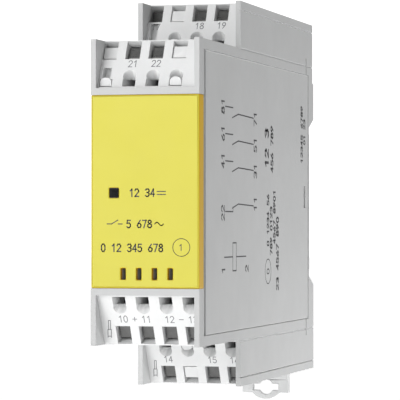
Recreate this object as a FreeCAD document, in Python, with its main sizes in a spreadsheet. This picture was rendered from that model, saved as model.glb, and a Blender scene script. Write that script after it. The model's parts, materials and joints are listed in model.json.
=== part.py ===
import FreeCAD, Part
import math
import os
import re

import Sketcher

# Safety relay for a 35 mm mounting rail, in millimetres.
# Origin: centre of the rail seat.  +X: to the right seen from the front.
# +Y: from the front label towards the rail.  +Z: up.

doc = FreeCAD.newDocument("SafetyRelay")

# ---------------------------------------------------------------- sizes

SIZES = {
    # margins of cuts and joints
    "beyond": 1.0,             # a cut reaches this far past the material
    "overlap": 0.1,            # joined features share this much
    "hair": 0.01,
    # housing outline
    "front_depth": 97.8,       # rail seat to front label
    "tier_step": 32.7,         # front label back to the rear tier
    "front_above": 31.8,       # front tier, above the rail's centre
    "front_below": 29.5,
    "rear_above": 41.8,        # rear tier, above the rail's centre
    "rear_below": 39.3,
    "rear_lip": 3.3,           # rear tier's back, behind the rail seat
    "jaw_depth": 4.4,          # middle of the back, behind the rail seat
    "jaw_above": 28.0,
    "cheek": 1.05,             # side walls
    "blank_strip": 1.0,        # beside the last pole
    "shell": 1.1,              # top, bottom and end walls
    "back_wall": 1.6,
    "edge_round": 0.5,
    # rail
    "rail_width": 35.0,
    "rail_play": 0.1,
    "rail_metal": 1.0,
    "rail_gap": 0.25,          # behind the rail's flange
    "seat_half": 15.8,
    "seat_relief": 0.4,
    "jaw_flare": 1.9,
    "hook_width": 12.0,
    "hook_reach": 1.35,
    "hook_bevel": 1.0,
    "jaw_wall": 1.7,
    # front cover
    "cover_above": 20.6,
    "cover_below": 18.0,
    "cover_skirt": 3.4,
    "cover_wall": 1.2,
    "nose_band": 1.4,
    "front_wall": 3.2,
    "slot_width": 1.05,
    "slot_height": 2.3,
    "slot_pitch": 3.25,
    "slot_first": 4.5,         # left of the middle
    "slot_count": 4,
    "slot_middle": 15.1,       # below the rail's centre
    "lens_size": 2.0,
    "lens_left": 6.4,
    "lens_up": 1.05,
    "lens_play": 0.05,
    "lens_sink": 0.05,
    # side cover
    "side_recess": 0.05,
    "side_play": 0.1,
    "frame_front": 3.5,
    "frame_rim": 2.05,
    "frame_back": 0.9,
    "rear_rim": 1.75,
    "groove_depth": 0.3,
    "groove_lip": 0.05,
    "field_low": 31.65,        # raised field of the upper rear tier
    "field_high": 29.65,       # raised field of the lower rear tier
    "lip_inset": 1.0,
    "lip_width": 1.0,
    "lip_depth": 0.8,
    "snap_width": 0.6,
    "snap_depth": 0.5,
    "snap_height": 5.1,
    "snap_inset": 3.3,
    "snap_above": 31.0,
    "snap_below": 28.7,
    "snap_middle": 1.1,
    "snap_back": 1.6,          # middle slot, in front of the others
    # terminal blocks
    "tier_gap": 0.2,
    "block_depth": 16.0,
    "face_top": 6.1,
    "face_lean": 0.5,
    "pitch": 4.85,
    "pole_count": 4,
    "entry_width": 3.05,
    "entry_overcut": 0.03,
    "entry_rim": 0.2,
    "entry_top": 1.25,
    "entry_height": 2.6,
    "entry_drop": 1.3,
    "notch_depth": 2.8,
    "chamber_front": 9.5,
    "release_height": 1.55,
    "release_width": 2.7,
    "release_floor": 0.3,
    "funnel_radius": 1.4,
    "funnel_tip": 0.9,
    "funnel_depth": 3.0,
    "funnel_rise": 0.6,        # above the release slot's roof
    "channel_width": 1.75,
    "channel_depth": 2.0,
    "long_channel": 4.15,      # below the tier's outer edge
    "short_channel": 5.6,
    "insert_play": 0.15,
    "insert_sink": 0.5,
    "insert_step": 1.0,
    "dome_round": 1.1,
    "dome_depth": 1.2,
    "dome_rise": 0.3,          # above the release slot's roof
    # clamps
    "bar_width": 2.6,
    "bar_metal": 0.8,
    "bar_start": 0.4,
    "tail_pitch": 2.4,
    "tail_width": 1.2,
    "spring_metal": 0.35,
    "spring_width": 2.4,
    "spring_bend": 0.6,
    "spring_lean": 3.0,
    # circuit board
    "board_gap": 0.8,          # from the left wall to the board
    "board_metal": 1.6,
    "board_play": 0.1,
    "board_front": 0.6,
    "board_back": 8.0,
    "rest_size": 3.0,
    "rest_gap": 1.0,
    # board parts
    "can_radius": 4.0,
    "can_length": 11.5,
    "disc_radius": 4.5,
    "disc_metal": 3.2,
    "resistor_radius": 1.2,
    "resistor_length": 6.5,
    "resistor_pitch": 9.0,
    "resistor_count": 4,
    "resistor_depth": 27.8,
    "resistor_low": 14.0,
    "can_depth": 35.8,
    "can_low": 14.0,
    "disc_depth": 35.8,
    "disc_high": 18.0,
    "led_depth": 2.0,
    # relay, standing on the board: "up" is away from the board
    "relay_centre": 38.0,      # in front of the rail seat
    "relay_low": 19.0,         # below the rail's centre
    "relay_length": 40.0,
    "relay_width": 14.0,
    "relay_room": 0.8,
    "relay_wall": 0.6,
    "base_metal": 1.9,
    "coil_up": 8.0,
    "coil_radius": 3.8,
    "core_radius": 2.0,
    "core_play": 0.05,
    "core_stand": 0.6,
    "coil_gap": 0.2,
    "bobbin_wall": 0.6,
    "flange_half": 4.0,
    "flange_metal": 0.8,
    "iron": 1.2,
    "iron_width": 9.0,
    "yoke_margin": 0.6,
    "hinge_gap": 0.3,
    "coil_end": 18.5,          # above the relay's lower end
    "armature_gap": 0.65,
    "card_below": 3.6,
    "card_metal": 1.2,
    "card_half": 3.0,
    "card_play": 0.15,
    "card_lead": 1.2,
    "card_tail": 1.4,
    "leaf_past": 0.8,          # the leaves reach this far past the card
    "leaf_metal": 0.25,
    "leaf_width": 4.0,
    "leaf_root": 2.2,
    "contact_below": 3.2,
    "contact_rise": 1.5,
    "contact_radius": 1.1,
    "contact_metal": 0.5,
    "contact_gap": 0.62,
    "closed_gap": 0.05,
    "fixed_metal": 0.4,
    "contact_first": 24.8,     # first moving leaf, above the relay's lower end
    "contact_pitch": 4.3,
    "barrier": 0.6,
    "barrier_below": 2.9,
    "pin_size": 0.8,
    # rail clip
    "clip_width": 11.3,
    "clip_metal": 2.8,
    "foot_metal": 1.7,
    "foot_above": 42.0,
    "clip_play": 0.2,
    "clip_gap": 0.15,          # behind the rail, on top of the flange's own gap
    "jaw_bevel": 1.4,
    "jaw_nose": 0.8,
    "clip_flange": 1.2,
    "clip_flange_reach": 1.2,
    "clip_flange_low": 36.2,
    "clip_flange_high": 22.0,
    "clip_travel": 2.6,
    "clip_reach": 1.3,
    "clip_foot": 46.8,
    "clip_shoulder": 45.3,
    "foot_radius": 4.6,
    "ring_centre": 43.95,
    "ring_radius": 1.75,
    "ring_slot": 6.1,
    "ring_slot_height": 1.5,
    "window_half": 2.5,
    "window_low": 37.6,
    "window_high": 26.6,
    "peg_low": 34.2,
    "peg_high": 32.8,
    "peg_half": 1.7,
    "peg_short": 0.4,
    "coil_metal": 0.4,
    "coil_half": 1.8,
    "coil_turns": 4,
    "coil_bend": 0.6,
    "coil_play": 0.02,
    "coil_inset": 0.8,
}
sheet = doc.addObject("Spreadsheet::Sheet", "Sizes")
for row, (alias, value) in enumerate(SIZES.items(), 1):
    sheet.set("A%d" % row, alias)
    sheet.set("B%d" % row, str(value))
    sheet.setAlias("B%d" % row, alias)
doc.recompute()


def size(alias):
    return float(sheet.get(alias))


def bind(text):
    """Point each size named in an expression at the sheet."""
    def link(match):
        word = match.group(0)
        return "Sizes." + word if word in SIZES else word
    return re.sub(r"[a-z]+(?:_[a-z]+)*", link, str(text))


# ---------------------------------------------------------------- helpers

PARTS = []
# A sketch plane's normal points along +X, -Y or +Z.
PLANES = {"YZ": ("YZ_Plane", 1), "XZ": ("XZ_Plane", -1), "XY": ("XY_Plane", 1)}


def new_body(label, x="0", y="0", z="0", turned=False):
    """A sub-part's body; a turned one is rotated half a turn about Y."""
    body = doc.addObject("PartDesign::Body", label)
    body.Label = label
    turn = 180 if turned else 0
    body.Placement = FreeCAD.Placement(FreeCAD.Vector(), FreeCAD.Rotation(FreeCAD.Vector(0, 1, 0), turn))
    for axis, place in zip("xyz", (x, y, z)):
        body.setExpression("Placement.Base." + axis, bind(place))
    PARTS.append(body)
    return body


def new_sketch(body, plane, offset):
    role, _ = PLANES[plane]
    sketch = body.newObject("Sketcher::SketchObject", body.Label + "_sketch")
    origin_plane = next(item for item in body.Origin.OriginFeatures if item.Role == role)
    sketch.AttachmentSupport = [(origin_plane, "")]
    sketch.MapMode = "FlatFace"
    sketch.setExpression("AttachmentOffset.Base.z", bind(offset))
    return sketch


def hold(sketch, kind, line, end, expression):
    """Constrain one point's distance from the sketch's origin."""
    index = sketch.addConstraint(Sketcher.Constraint(kind, -1, 1, line, end, 1.0))
    sketch.setExpression("Constraints[%d]" % index, bind(expression))


def draw_outline(sketch, corners):
    count = len(corners)
    spread = [2 * math.pi * index / count for index in range(count)]
    loose = [FreeCAD.Vector(math.cos(angle), math.sin(angle), 0) for angle in spread]
    for index in range(count):
        sketch.addGeometry(Part.LineSegment(loose[index], loose[(index + 1) % count]), False)
    for index in range(count):
        sketch.addConstraint(Sketcher.Constraint("Coincident", index, 2, (index + 1) % count, 1))
    for index, (across, along) in enumerate(corners):
        hold(sketch, "DistanceX", index, 1, across)
        hold(sketch, "DistanceY", index, 1, along)


def draw_circle(sketch, across, along, radius):
    circle = Part.Circle(FreeCAD.Vector(1, 1, 0), FreeCAD.Vector(0, 0, 1), 1)
    line = sketch.addGeometry(circle, False)
    hold(sketch, "DistanceX", line, 3, across)
    hold(sketch, "DistanceY", line, 3, along)
    index = sketch.addConstraint(Sketcher.Constraint("Radius", line, 1.0))
    sketch.setExpression("Constraints[%d]" % index, bind(radius))


def extrude(body, plane, low, high, draw, cut):
    """Add or cut a prism whose section is drawn on a plane, from low to high along its axis."""
    _, way = PLANES[plane]
    starts_low = (way > 0) != cut
    start = low if starts_low else high
    sketch = new_sketch(body, plane, start if way > 0 else "-(%s)" % start)
    draw(sketch)
    kind = "Pocket" if cut else "Pad"
    feature = body.newObject("PartDesign::" + kind, body.Label + "_" + kind.lower())
    feature.Profile = sketch
    feature.setExpression("Length", bind("(%s) - (%s)" % (high, low)))
    return feature


def prism(body, plane, low, high, corners, cut=False):
    return extrude(body, plane, low, high, lambda sketch: draw_outline(sketch, corners), cut)


def round_prism(body, plane, low, high, across, along, radius, cut=False):
    return extrude(body, plane, low, high, lambda sketch: draw_circle(sketch, across, along, radius), cut)


def block(left, right, bottom, top):
    """The corners of a rectangle."""
    return [(left, bottom), (right, bottom), (right, top), (left, top)]


def box(body, across, depth, height, cut=False):
    """A box from three pairs of limits along X, Y and Z."""
    return prism(body, "YZ", across[0], across[1], block(depth[0], depth[1], height[0], height[1]), cut)


def repeat(body, features, axis, step, count):
    """Copy features along one of the body's own axes."""
    doc.recompute()
    pattern = body.newObject("PartDesign::LinearPattern", body.Label + "_row")
    pattern.Originals = features
    role = axis + "_Axis"
    pattern.Direction = (next(item for item in body.Origin.OriginFeatures if item.Role == role), [""])
    pattern.setExpression("Occurrences", bind(count))
    pattern.setExpression("Length", bind("(%s) * ((%s) - 1)" % (step, count)))
    body.Tip = pattern
    return pattern


def round_edges(body, radius, chosen):
    """Round every edge of the body's present shape that the test picks."""
    doc.recompute()
    base = body.Tip
    names = ["Edge%d" % number for number, edge in enumerate(base.Shape.Edges, 1) if chosen(edge)]
    fillet = body.newObject("PartDesign::Fillet", body.Label + "_round")
    fillet.Base = (base, names)
    fillet.setExpression("Radius", bind(radius))
    body.Tip = fillet
    return fillet


def rounded_edges(points, radii):
    """Lines through the points, joined by tangent arcs at the inner ones."""
    edges = []
    start = points[0]
    for before, corner, after, radius in zip(points, points[1:], points[2:], radii):
        back = (before - corner).normalize()
        ahead = (after - corner).normalize()
        half = back.getAngle(ahead) / 2
        reach = radius / math.tan(half)
        middle = (back + ahead).normalize()
        first = corner + back * reach
        last = corner + ahead * reach
        summit = corner + middle * (radius / math.sin(half) - radius)
        edges.append(Part.LineSegment(start, first).toShape())
        edges.append(Part.Arc(first, summit, last).toShape())
        start = last
    edges.append(Part.LineSegment(start, points[-1]).toShape())
    return edges


def shifted(points, shift):
    """The same path moved sideways in the XY plane."""
    ways = [(after - before).normalize() for before, after in zip(points, points[1:])]
    sides = [FreeCAD.Vector(-way.y, way.x, 0) for way in ways]
    moved = [points[0] + sides[0] * shift]
    for corner, before, after in zip(points[1:], sides, sides[1:]):
        lean = (before + after).normalize()
        moved.append(corner + lean * (shift / lean.dot(before)))
    moved.append(points[-1] + sides[-1] * shift)
    return moved


def bent_strip(points, bend, metal, width):
    """A strip of sheet metal: its centre line lies in XY and its width runs along Z."""
    path = [FreeCAD.Vector(across, along, -width / 2) for across, along in points]
    turns = []
    for before, corner, after in zip(path, path[1:], path[2:]):
        turns.append(1 if (corner - before).cross(after - corner).z > 0 else -1)
    sides = []
    for side in (1, -1):
        radii = [bend - side * turn * metal / 2 for turn in turns]
        sides.append(rounded_edges(shifted(path, side * metal / 2), radii))
    ends = [Part.LineSegment(sides[0][-1].Vertexes[-1].Point, sides[1][-1].Vertexes[-1].Point).toShape(),
            Part.LineSegment(sides[1][0].Vertexes[0].Point, sides[0][0].Vertexes[0].Point).toShape()]
    outline = Part.Wire(Part.__sortEdges__(sides[0] + sides[1] + ends))
    return Part.Face(outline).extrude(FreeCAD.Vector(0, 0, width))


def new_feature(label, shape, x="0", y="0", z="0", turn=FreeCAD.Rotation()):
    """A sub-part whose shape is made here, placed by expressions as a body is."""
    feature = doc.addObject("Part::Feature", label)
    feature.Label = label
    feature.Shape = shape
    feature.Placement = FreeCAD.Placement(FreeCAD.Vector(), turn)
    for axis, place in zip("xyz", (x, y, z)):
        feature.setExpression("Placement.Base." + axis, bind(place))
    PARTS.append(feature)
    return feature


# ---------------------------------------------------------------- housing

INNER = "((pole_count*pitch + blank_strip)/2)"
HALF = "(%s + cheek)" % INNER
BOARD_FACE = "(%s - board_gap - board_metal)" % INNER
BOARD = "-" + BOARD_FACE
RELAY_UP = "(%s + %s - lip_depth - relay_room)" % (BOARD_FACE, INNER)
CARD_UP = "(%s - card_below)" % RELAY_UP
UNDER_CARD = "(%s - card_metal/2 - card_play)" % CARD_UP
PAST_CARD = "(%s + card_metal/2 + leaf_past)" % CARD_UP
CONTACT_UP = "(%s - contact_below)" % CARD_UP
FRONT = "-front_depth"
STEP = "(tier_step - front_depth)"
NOSE_TOP = "(cover_above + nose_band)"
NOSE_BOTTOM = "(cover_below + nose_band)"
POCKET = "(rail_width/2 + rail_play)"
CLIP_HALF = "(clip_width/2)"
FLANGE_HALF = "(clip_width/2 + clip_flange_reach)"
CLIP_FRONT = "(rail_metal + rail_gap + clip_gap)"


def side_outline():
    """The housing seen from its right side: two tiers in front and the rail pocket behind."""
    return [
        (FRONT, "-front_below"), (STEP, "-front_below"), (STEP, "-rear_below"),
        ("jaw_depth", "-rear_below"), ("jaw_depth", "-%s - jaw_flare" % POCKET), ("0", "-" + POCKET),
        ("-seat_relief", "-" + POCKET), ("-seat_relief", "-seat_half"), ("0", "-seat_half"),
        ("0", "seat_half"), ("-seat_relief", "seat_half"), ("-seat_relief", POCKET),
        ("0", POCKET), ("jaw_depth", POCKET + " + jaw_flare"), ("jaw_depth", "jaw_above"),
        ("rear_lip", "jaw_above"), ("rear_lip", "rear_above"), (STEP, "rear_above"),
        (STEP, "front_above"), (FRONT, "front_above"),
    ]


def cavity_outline():
    """The space behind the terminal blocks and the front wall."""
    front = "cover_wall + front_wall - front_depth"
    block_back = "block_depth - front_depth"
    rear_back = "block_depth + tier_step - front_depth"
    back = "-seat_relief - back_wall"
    return [
        (front, "-" + NOSE_BOTTOM), (block_back, "-" + NOSE_BOTTOM),
        (block_back, "shell - front_below"), (rear_back, "shell - front_below"),
        (rear_back, "shell - rear_below"), (back, "shell - rear_below"),
        (back, "rear_above - shell"), (rear_back, "rear_above - shell"),
        (rear_back, "front_above - shell"), (block_back, "front_above - shell"),
        (block_back, NOSE_TOP), (front, NOSE_TOP),
    ]


def cut_terminal_bays(body):
    """Each tier is open in front and outwards, between the cheeks."""
    inside = ("-" + INNER, INNER)
    for face, nose, edge, way in (
            (FRONT, NOSE_TOP, "front_above", 1),
            (STEP, "front_above + tier_gap", "rear_above", 1),
            (FRONT, NOSE_BOTTOM, "front_below", -1),
            (STEP, "front_below + tier_gap", "rear_below", -1)):
        outer = edge + " + beyond"
        height = (nose, outer) if way > 0 else ("-(%s)" % outer, "-(%s)" % nose)
        box(body, inside, (face + " - beyond", face + " + block_depth"), height, cut=True)


def cut_cover_seat(body):
    """The front cover's plate and its two skirts are let into the front."""
    height = ("-cover_below", "cover_above")
    wide = ("-%s - beyond" % HALF, HALF + " + beyond")
    box(body, wide, (FRONT + " - beyond", "cover_wall - front_depth"), height, cut=True)
    for side in ((wide[0], "-" + INNER), (INNER, wide[1])):
        box(body, side, (FRONT + " - 1", "cover_skirt - front_depth"), height, cut=True)


def slot_corners(middle, half_width):
    return block("%s - %s" % (middle, half_width), "%s + %s" % (middle, half_width),
                 "-slot_middle - slot_height/2", "slot_height/2 - slot_middle")


def housing():
    body = new_body("housing")
    prism(body, "YZ", "-" + HALF, HALF, side_outline())
    prism(body, "YZ", "-" + INNER, INNER, cavity_outline(), cut=True)
    cut_terminal_bays(body)
    cut_cover_seat(body)
    window = ("frame_front - front_depth", "-frame_back")
    box(body, (INNER + " - hair", HALF + " + beyond"), window,
        ("frame_rim - front_below", "front_above - frame_rim"), cut=True)
    cut_side_grooves(body)
    vent = prism(body, "XZ", FRONT, "cover_wall + front_wall + overlap - front_depth",
                 slot_corners("-slot_first", "slot_width/2"), cut=True)
    repeat(body, [vent], "X", "slot_pitch", "slot_count")
    lens_hole = ("-lens_left - lens_size/2 - lens_play", "-lens_left + lens_size/2 + lens_play")
    box(body, lens_hole, (FRONT, "cover_wall + front_wall + overlap - front_depth"),
        ("lens_up - lens_size/2 - lens_play", "lens_up + lens_size/2 + lens_play"), cut=True)
    housing_rail_side(body)
    snap = ("-snap_inset - snap_width/2", "-snap_inset + snap_width/2")
    for middle in ("snap_above", "-snap_below"):
        height = (middle + " - snap_height/2", middle + " + snap_height/2")
        box(body, ("-%s - beyond" % HALF, "snap_depth - " + HALF), snap, height, cut=True)
        box(body, (HALF + " - snap_depth", HALF + " + beyond"), snap, height, cut=True)
    for depth in ("block_depth + rest_size - front_depth", "-board_back - rest_size - rest_gap"):
        for height in ("rest_size + rest_gap - front_below", "front_above - rest_size*2 - rest_gap"):
            box(body, ("-" + INNER, "board_gap - " + INNER), (depth, depth + " + rest_size"),
                (height, height + " + rest_size"))
    return body


def cut_side_grooves(body):
    """Grooves that border the rear tiers' fields on the right side; each field's own edge is bevelled."""
    for line, bevel in (("rear_above - rear_rim", -1), ("field_low", 1), ("-field_high", -1),
                        ("rear_rim - rear_below", 1)):
        prism(body, "XZ", STEP, "jaw_depth + beyond", [
            (HALF + " - groove_depth", line), (HALF + " + hair", "%s - %d*groove_lip" % (line, bevel)),
            (HALF + " + hair", "%s + %d*groove_depth" % (line, bevel)),
        ], cut=True)


def housing_rail_side(body):
    """The fixed hook above the rail, and the guide of the sliding clip below it."""
    prism(body, "YZ", "-hook_width/2", "hook_width/2", [
        ("rail_metal + rail_gap", POCKET + " + beyond"),
        ("rail_metal + rail_gap", "rail_width/2 - hook_reach"),
        ("jaw_depth - hook_bevel", "rail_width/2 - hook_reach"),
        ("jaw_depth", "rail_width/2 - hook_reach + hook_bevel"),
        ("jaw_depth", POCKET + " + jaw_flare + beyond"),
    ])
    floor = CLIP_FRONT + " - clip_play"
    channel = CLIP_HALF + " + clip_play"
    groove = FLANGE_HALF + " + clip_play"
    box(body, ("-(%s)" % channel, channel), (floor, "jaw_depth + beyond"),
        ("-rear_below - beyond", "beyond - " + POCKET), cut=True)
    box(body, ("-(%s)" % groove, groove), (floor, CLIP_FRONT + " + clip_flange + clip_play"),
        ("-clip_flange_low - clip_travel - clip_play", "-clip_flange_high + clip_play"), cut=True)
    box(body, ("-peg_half", "peg_half"), (floor + " - overlap", CLIP_FRONT + " + clip_metal - peg_short"),
        ("-peg_low", "-peg_high"))
    hollow = back_hollow()
    prism(body, "YZ", "-" + INNER, INNER, hollow, cut=True)


def back_hollow():
    """The hollow that lightens the thick back above the rail."""
    front = "-seat_relief - back_wall - beyond"
    return block(front, "rear_lip - shell", POCKET + " + jaw_flare + jaw_wall", "rear_above - shell")


# ---------------------------------------------------------------- covers

def front_cover():
    """The coloured cover: a plate with two skirts, a lens window and a row of slots."""
    body = new_body("front_cover")
    height = ("-cover_below", "cover_above")
    box(body, ("-" + HALF, HALF), (FRONT, "cover_skirt - front_depth"), height)
    inside = ("cover_wall - front_depth", "cover_skirt + beyond - front_depth")
    box(body, ("-" + INNER, INNER), inside, height, cut=True)
    round_edges(body, "edge_round", lambda edge: edge.BoundBox.YMax < size("hair") - size("front_depth"))
    window = block("-lens_left - lens_size/2", "lens_size/2 - lens_left",
                   "lens_up - lens_size/2", "lens_up + lens_size/2")
    through = (FRONT + " - beyond", "cover_wall + overlap - front_depth")
    prism(body, "XZ", *through, window, cut=True)
    slot = prism(body, "XZ", *through, slot_corners("-slot_first", "slot_width/2"), cut=True)
    repeat(body, [slot], "X", "slot_pitch", "slot_count")


def led_lens():
    """The square light pipe from the window in the front cover to the lamp on the board."""
    body = new_body("led_lens")
    box(body, ("-lens_left - lens_size/2", "lens_size/2 - lens_left"),
        (FRONT + " + lens_sink", "block_depth + board_front - board_play - front_depth"),
        ("lens_up - lens_size/2", "lens_up + lens_size/2"))


def side_cover():
    """The panel that closes the right side, with a snap-in rib on its inner face."""
    body = new_body("side_cover")
    front = "frame_front + side_play - front_depth"
    back = "-frame_back - side_play"
    bottom = "frame_rim + side_play - front_below"
    top = "front_above - frame_rim - side_play"
    box(body, (INNER, HALF + " - side_recess"), (front, back), (bottom, top))
    rib_front = "block_depth + lip_inset - front_depth"
    rib_back = "-seat_relief - back_wall - lip_inset"
    rib_bottom = bottom + " + lip_inset"
    rib_top = top + " - lip_inset"
    box(body, (INNER + " - lip_depth", INNER), (rib_front, rib_back), (rib_bottom, rib_top))
    box(body, (INNER + " - lip_depth - beyond", INNER),
        (rib_front + " + lip_width", rib_back + " - lip_width"),
        (rib_bottom + " + lip_width", rib_top + " - lip_width"), cut=True)
    box(body, (HALF + " - side_recess - snap_depth", HALF + " + beyond"),
        ("-snap_inset - snap_back - snap_width/2", "-snap_inset - snap_back + snap_width/2"),
        ("snap_middle - snap_height/2", "snap_middle + snap_height/2"), cut=True)


# ---------------------------------------------------------------- terminals

# Each tier: its front plane, its outer edge, the two sizes its inner edge adds up from,
# and whether it is upside down.
TIERS = {
    "upper_front": (FRONT, "front_above", "cover_above", "nose_band", False),
    "upper_rear": (STEP, "rear_above", "front_above", "tier_gap", False),
    "lower_front": (FRONT, "front_below", "cover_below", "nose_band", True),
    "lower_rear": (STEP, "rear_below", "front_below", "tier_gap", True),
}
# The poles that hold a clamp, counted from the tier's own left; the others are blank.
USED_POLES = {
    "upper_front": (1, 2), "upper_rear": (0, 2, 3), "lower_front": (0, 1, 2, 3), "lower_rear": (0, 1, 3),
}
# An upper tier's first pole has a straight channel in place of the round funnel.
CHANNELS = {"upper_front": "short_channel", "upper_rear": "long_channel"}
FIRST_POLE = "(entry_width/2 - entry_overcut - %s)" % INNER


def pole(index):
    return "(%s + %d*pitch)" % (FIRST_POLE, index)


def tier_height(tier):
    _, outer, inner, gap, _ = TIERS[tier]
    return "(%s - %s - %s)" % (outer, inner, gap)


def tier_place(tier, across):
    """The place of the tier's outer front edge, and whether the tier is turned."""
    face, edge, _, _, turned = TIERS[tier]
    if turned:
        return "-(%s)" % across, face, "-" + edge, True
    return across, face, edge, False


def tier_body(label, tier, across="0"):
    """A body whose origin is on the tier's outer front edge; its inside lies at +Y and -Z."""
    return new_body(label, *tier_place(tier, across))


def pole_outline(height):
    """Side view of one pole's wire entry and the clamp chamber behind it."""
    floor = "release_floor - %s" % height
    entry_bottom = "-entry_top - entry_height"
    return [
        ("-beyond", "-entry_rim"), ("face_top - face_lean*entry_rim", "-entry_rim"),
        ("face_top - face_lean*entry_top + notch_depth", "-entry_top"),
        ("block_depth + beyond", "-entry_top"), ("block_depth + beyond", floor), ("chamber_front", floor),
        ("chamber_front", entry_bottom + " - entry_drop"),
        ("face_top + face_lean*(%s)" % entry_bottom, entry_bottom), ("-beyond", entry_bottom),
    ]


def terminal_block(tier):
    height = tier_height(tier)
    body = tier_body("terminal_block_" + tier, tier)
    prism(body, "YZ", "-" + INNER, INNER, [
        ("face_top - face_lean*" + height, "-" + height), ("block_depth", "-" + height),
        ("block_depth", "0"), ("face_top", "0"),
    ])
    first = pole(0)
    entry = prism(body, "YZ", first + " - entry_width/2", first + " + entry_width/2", pole_outline(height),
                  cut=True)
    repeat(body, [entry], "X", "pitch", "pole_count")
    floor = "release_floor - %s" % height
    slot = box(body, (first + " - release_width/2", first + " + release_width/2"),
               ("-beyond", "chamber_front + overlap"), (floor, floor + " + release_height"), cut=True)
    repeat(body, [slot], "X", "pitch", "pole_count")
    funnels = 1 if tier in CHANNELS else 0
    funnel = body.newObject("PartDesign::SubtractiveCone", body.Label + "_funnel")
    funnel.setExpression("Radius1", bind("funnel_radius"))
    funnel.setExpression("Radius2", bind("funnel_tip"))
    funnel.setExpression("Height", bind("funnel_depth"))
    centre = "(release_floor + release_height + funnel_rise - %s)" % height
    funnel.Placement = FreeCAD.Placement(FreeCAD.Vector(), FreeCAD.Rotation(FreeCAD.Vector(-1, 0, 0), 90))
    funnel.setExpression("Placement.Base.x", bind(pole(funnels)))
    funnel.setExpression("Placement.Base.y", bind("face_top + face_lean*%s" % centre))
    funnel.setExpression("Placement.Base.z", bind(centre))
    funnel.setExpression("Placement.Rotation.Angle", bind("90 deg + atan(face_lean)"))
    repeat(body, [funnel], "X", "pitch", "pole_count - %d" % funnels)
    if funnels:
        top = CHANNELS[tier]
        end = "(%s + release_height - overlap)" % floor
        prism(body, "YZ", first + " - channel_width/2", first + " + channel_width/2", [
            ("-beyond", "-" + top), ("face_top - face_lean*%s + channel_depth" % top, "-" + top),
            ("face_top + face_lean*%s + channel_depth" % end, end), ("-beyond", end),
        ], cut=True)


def blank_insert(tier, index):
    """The insert that fills an unused pole: one limb in the wire entry, one in the release slot."""
    height = tier_height(tier)
    body = tier_body("blank_insert_%s_%d" % (tier, index + 1), tier, pole(index))
    floor = "(release_floor - %s)" % height
    front = "(chamber_front + insert_step)"
    nose = "(face_top - face_lean*%s + insert_sink)" % height
    half = "(release_width/2 - insert_play)"
    limb = floor + " + insert_play"
    roof = "(%s + release_height)" % floor
    box(body, ("-" + half, half), (nose, nose + " + dome_depth"), (limb, roof + " + dome_rise"))
    outer, inner, gap = (size(word) for word in TIERS[tier][1:4])
    high = size("release_floor") - (outer - inner - gap) + size("release_height") + size("dome_rise")
    hair = size("hair")
    round_edges(body, "dome_round",
                lambda edge: edge.BoundBox.ZMin > high - hair and edge.BoundBox.XLength < hair)
    box(body, ("-" + half, half), (nose + " + dome_depth/2", front + " + overlap"),
        (limb, roof + " - insert_play"))
    entry_top = "(entry_top + insert_play)"
    entry_bottom = "(entry_top + entry_height - insert_play)"
    half = "(entry_width/2 - insert_play)"
    prism(body, "YZ", "-" + half, half, [
        ("block_depth", "-entry_top"), ("block_depth", floor), (front, floor), (front, "-" + entry_bottom),
        ("face_top - face_lean*%s + insert_sink" % entry_bottom, "-" + entry_bottom),
        ("face_top - face_lean*%s + insert_sink" % entry_top, "-" + entry_top),
        (front, "-" + entry_top), (front, "-entry_top"),
    ])


def busbar(tier, index):
    """The current bar along the chamber's roof, with a tail that turns sideways to the board."""
    turned = TIERS[tier][-1]
    body = tier_body("busbar_%s_%d" % (tier, index + 1), tier, pole(index))
    rank = int(size("pole_count")) - 1 - index if turned else index
    end = "(block_depth + board_front - board_play + tail_width + %d*tail_pitch)" % rank
    start = "(chamber_front + bar_start)"
    if turned:
        board, near, far = "(%s - %s)" % (BOARD_FACE, pole(index)), "bar_width/2", "-bar_width/2"
    else:
        board, near, far = "(%s - %s)" % (BOARD, pole(index)), "-bar_width/2", "bar_width/2"
    prism(body, "XY", "-entry_top - bar_metal", "-entry_top", [
        (far, start), (far, end), (board, end), (board, end + " - tail_width"),
        (near, end + " - tail_width"), (near, start),
    ])


def clamp_spring(tier, index):
    """The leaf spring: one leg on the chamber's floor, the other leaning up against the current bar."""
    _, outer, inner, gap, _ = TIERS[tier]
    metal = size("spring_metal")
    floor = size("release_floor") - (size(outer) - size(inner) - size(gap)) + metal / 2
    bar = -size("entry_top") - size("bar_metal")
    front = size("chamber_front") + size("bar_start") + metal
    path = [(size("block_depth") - metal, floor), (front, floor), (front + metal, (floor + bar) / 2),
            (front + size("spring_lean"), bar - metal)]
    shape = bent_strip(path, size("spring_bend"), metal, size("spring_width"))
    # The strip's path lies in XY; here it belongs in YZ.
    turn = FreeCAD.Rotation(FreeCAD.Vector(1, 1, 1), 120)
    x, y, z, turned = tier_place(tier, pole(index))
    if turned:
        turn = FreeCAD.Rotation(FreeCAD.Vector(0, 1, 0), 180).multiply(turn)
    new_feature("clamp_spring_%s_%d" % (tier, index + 1), shape, x, y, z, turn)


# ---------------------------------------------------------------- board and its parts

def circuit_board():
    body = new_body("circuit_board")
    front = "block_depth + board_front - front_depth"
    rear = "block_depth + board_front + tier_step - front_depth"
    margin = "(shell + board_play)"
    prism(body, "YZ", BOARD + " - board_metal", BOARD, [
        (front, margin + " - front_below"), (rear, margin + " - front_below"),
        (rear, margin + " - rear_below"), ("-board_back", margin + " - rear_below"),
        ("-board_back", "rear_above - " + margin), (rear, "rear_above - " + margin),
        (rear, "front_above - " + margin), (front, "front_above - " + margin),
    ])


def status_led():
    body = new_body("status_led")
    front = "block_depth + board_front - front_depth"
    box(body, (BOARD, "lens_size/2 - lens_left"), (front, front + " + led_depth"),
        ("lens_up - lens_size/2", "lens_up + lens_size/2"))


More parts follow.
